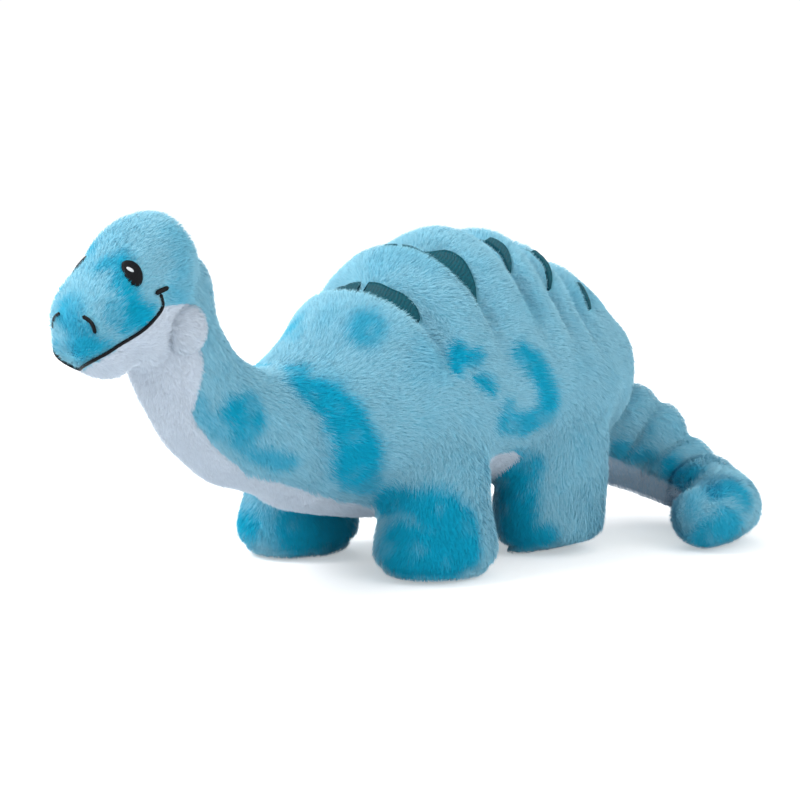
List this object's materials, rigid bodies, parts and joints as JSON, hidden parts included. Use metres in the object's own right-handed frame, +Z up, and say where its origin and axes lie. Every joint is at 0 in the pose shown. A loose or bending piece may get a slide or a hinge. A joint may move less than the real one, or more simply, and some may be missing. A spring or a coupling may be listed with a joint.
{
  "type": "stuffed dinosaur",
  "caption": "Standing plush sauropod with a humped back, long neck, four stubby legs and a tail curled to one side; sewn limbs flex.",
  "frame": {"origin": "on the floor below the middle of the overall box", "axes": "+Z up, the dinosaur faces -Y, its left side is +X"},
  "size_m": [0.171, 0.3636, 0.163],
  "materials": {
    "blue_plush": "blue plush, deep-blue spots, about 5 mm pile",
    "pale_plush": "pale grey-white short-pile plush",
    "stripe_fabric": "dark teal woven fabric",
    "black_thread": "black satin-stitch embroidery",
    "white_thread": "white satin-stitch embroidery",
    "stuffing": "white polyester fibre filling"
  },
  "bodies": {
    "torso": {"body_left": "blue_plush", "body_right": "blue_plush", "belly": "pale_plush", "body_stuffing": "stuffing", "stripe_1_left": "stripe_fabric", "stripe_1_right": "stripe_fabric", "stripe_2_left": "stripe_fabric", "stripe_2_right": "stripe_fabric", "stripe_3_left": "stripe_fabric", "stripe_3_right": "stripe_fabric", "stripe_4_left": "stripe_fabric", "stripe_4_right": "stripe_fabric", "stripe_5_left": "stripe_fabric", "stripe_5_right": "stripe_fabric"},
    "neck": {"neck": "blue_plush", "throat": "pale_plush", "neck_stuffing": "stuffing"},
    "head": {"head": "blue_plush", "jaw": "pale_plush", "head_stuffing": "stuffing", "mouth": "black_thread", "eye_left": "black_thread", "eye_right": "black_thread", "glint_left": "white_thread", "glint_right": "white_thread", "nostril_left": "black_thread", "nostril_right": "black_thread", "mouth_corner_left": "black_thread", "mouth_corner_right": "black_thread", "cheek_left": "pale_plush", "cheek_right": "pale_plush"},
    "tail": {"tail": "blue_plush", "tail_underside": "pale_plush", "tail_stuffing": "stuffing", "tail_tip": "blue_plush"},
    "leg_front_left": {"leg_front_left": "blue_plush", "sole_front_left": "blue_plush", "leg_front_left_stuffing": "stuffing"},
    "leg_front_right": {"leg_front_right": "blue_plush", "sole_front_right": "blue_plush", "leg_front_right_stuffing": "stuffing"},
    "leg_hind_left": {"leg_hind_left": "blue_plush", "sole_hind_left": "blue_plush", "leg_hind_left_stuffing": "stuffing"},
    "leg_hind_right": {"leg_hind_right": "blue_plush", "sole_hind_right": "blue_plush", "leg_hind_right_stuffing": "stuffing"}
  },
  "joints": [
    {"name": "neck_bend", "type": "hinge", "parent": "torso", "child": "neck", "pos_m": [-0.01727, -0.0632, 0.066], "axis": [1, 0, 0], "range_deg": [-7, 7], "stiffness_Nm_per_rad": 4},
    {"name": "head_turn", "type": "hinge", "parent": "neck", "child": "head", "pos_m": [-0.01727, -0.1267, 0.131], "axis": [0, -0.1504, 0.9886], "range_deg": [-20, 20], "stiffness_Nm_per_rad": 1.5},
    {"name": "tail_swing", "type": "hinge", "parent": "torso", "child": "tail", "pos_m": [-0.01727, 0.1228, 0.06], "axis": [0, 0, 1], "range_deg": [-10, 10], "stiffness_Nm_per_rad": 2},
    {"name": "leg_front_left_swing", "type": "hinge", "parent": "torso", "child": "leg_front_left", "pos_m": [0.01973, -0.0062, 0.048], "axis": [1, 0, 0], "range_deg": [-8, 8], "stiffness_Nm_per_rad": 4},
    {"name": "leg_front_right_swing", "type": "hinge", "parent": "torso", "child": "leg_front_right", "pos_m": [-0.05427, -0.0062, 0.048], "axis": [1, 0, 0], "range_deg": [-8, 8], "stiffness_Nm_per_rad": 4},
    {"name": "leg_hind_left_swing", "type": "hinge", "parent": "torso", "child": "leg_hind_left", "pos_m": [0.01773, 0.0748, 0.05], "axis": [1, 0, 0], "range_deg": [-8, 8], "stiffness_Nm_per_rad": 4},
    {"name": "leg_hind_right_swing", "type": "hinge", "parent": "torso", "child": "leg_hind_right", "pos_m": [-0.05227, 0.0748, 0.05], "axis": [1, 0, 0], "range_deg": [-8, 8], "stiffness_Nm_per_rad": 4}
  ]
}
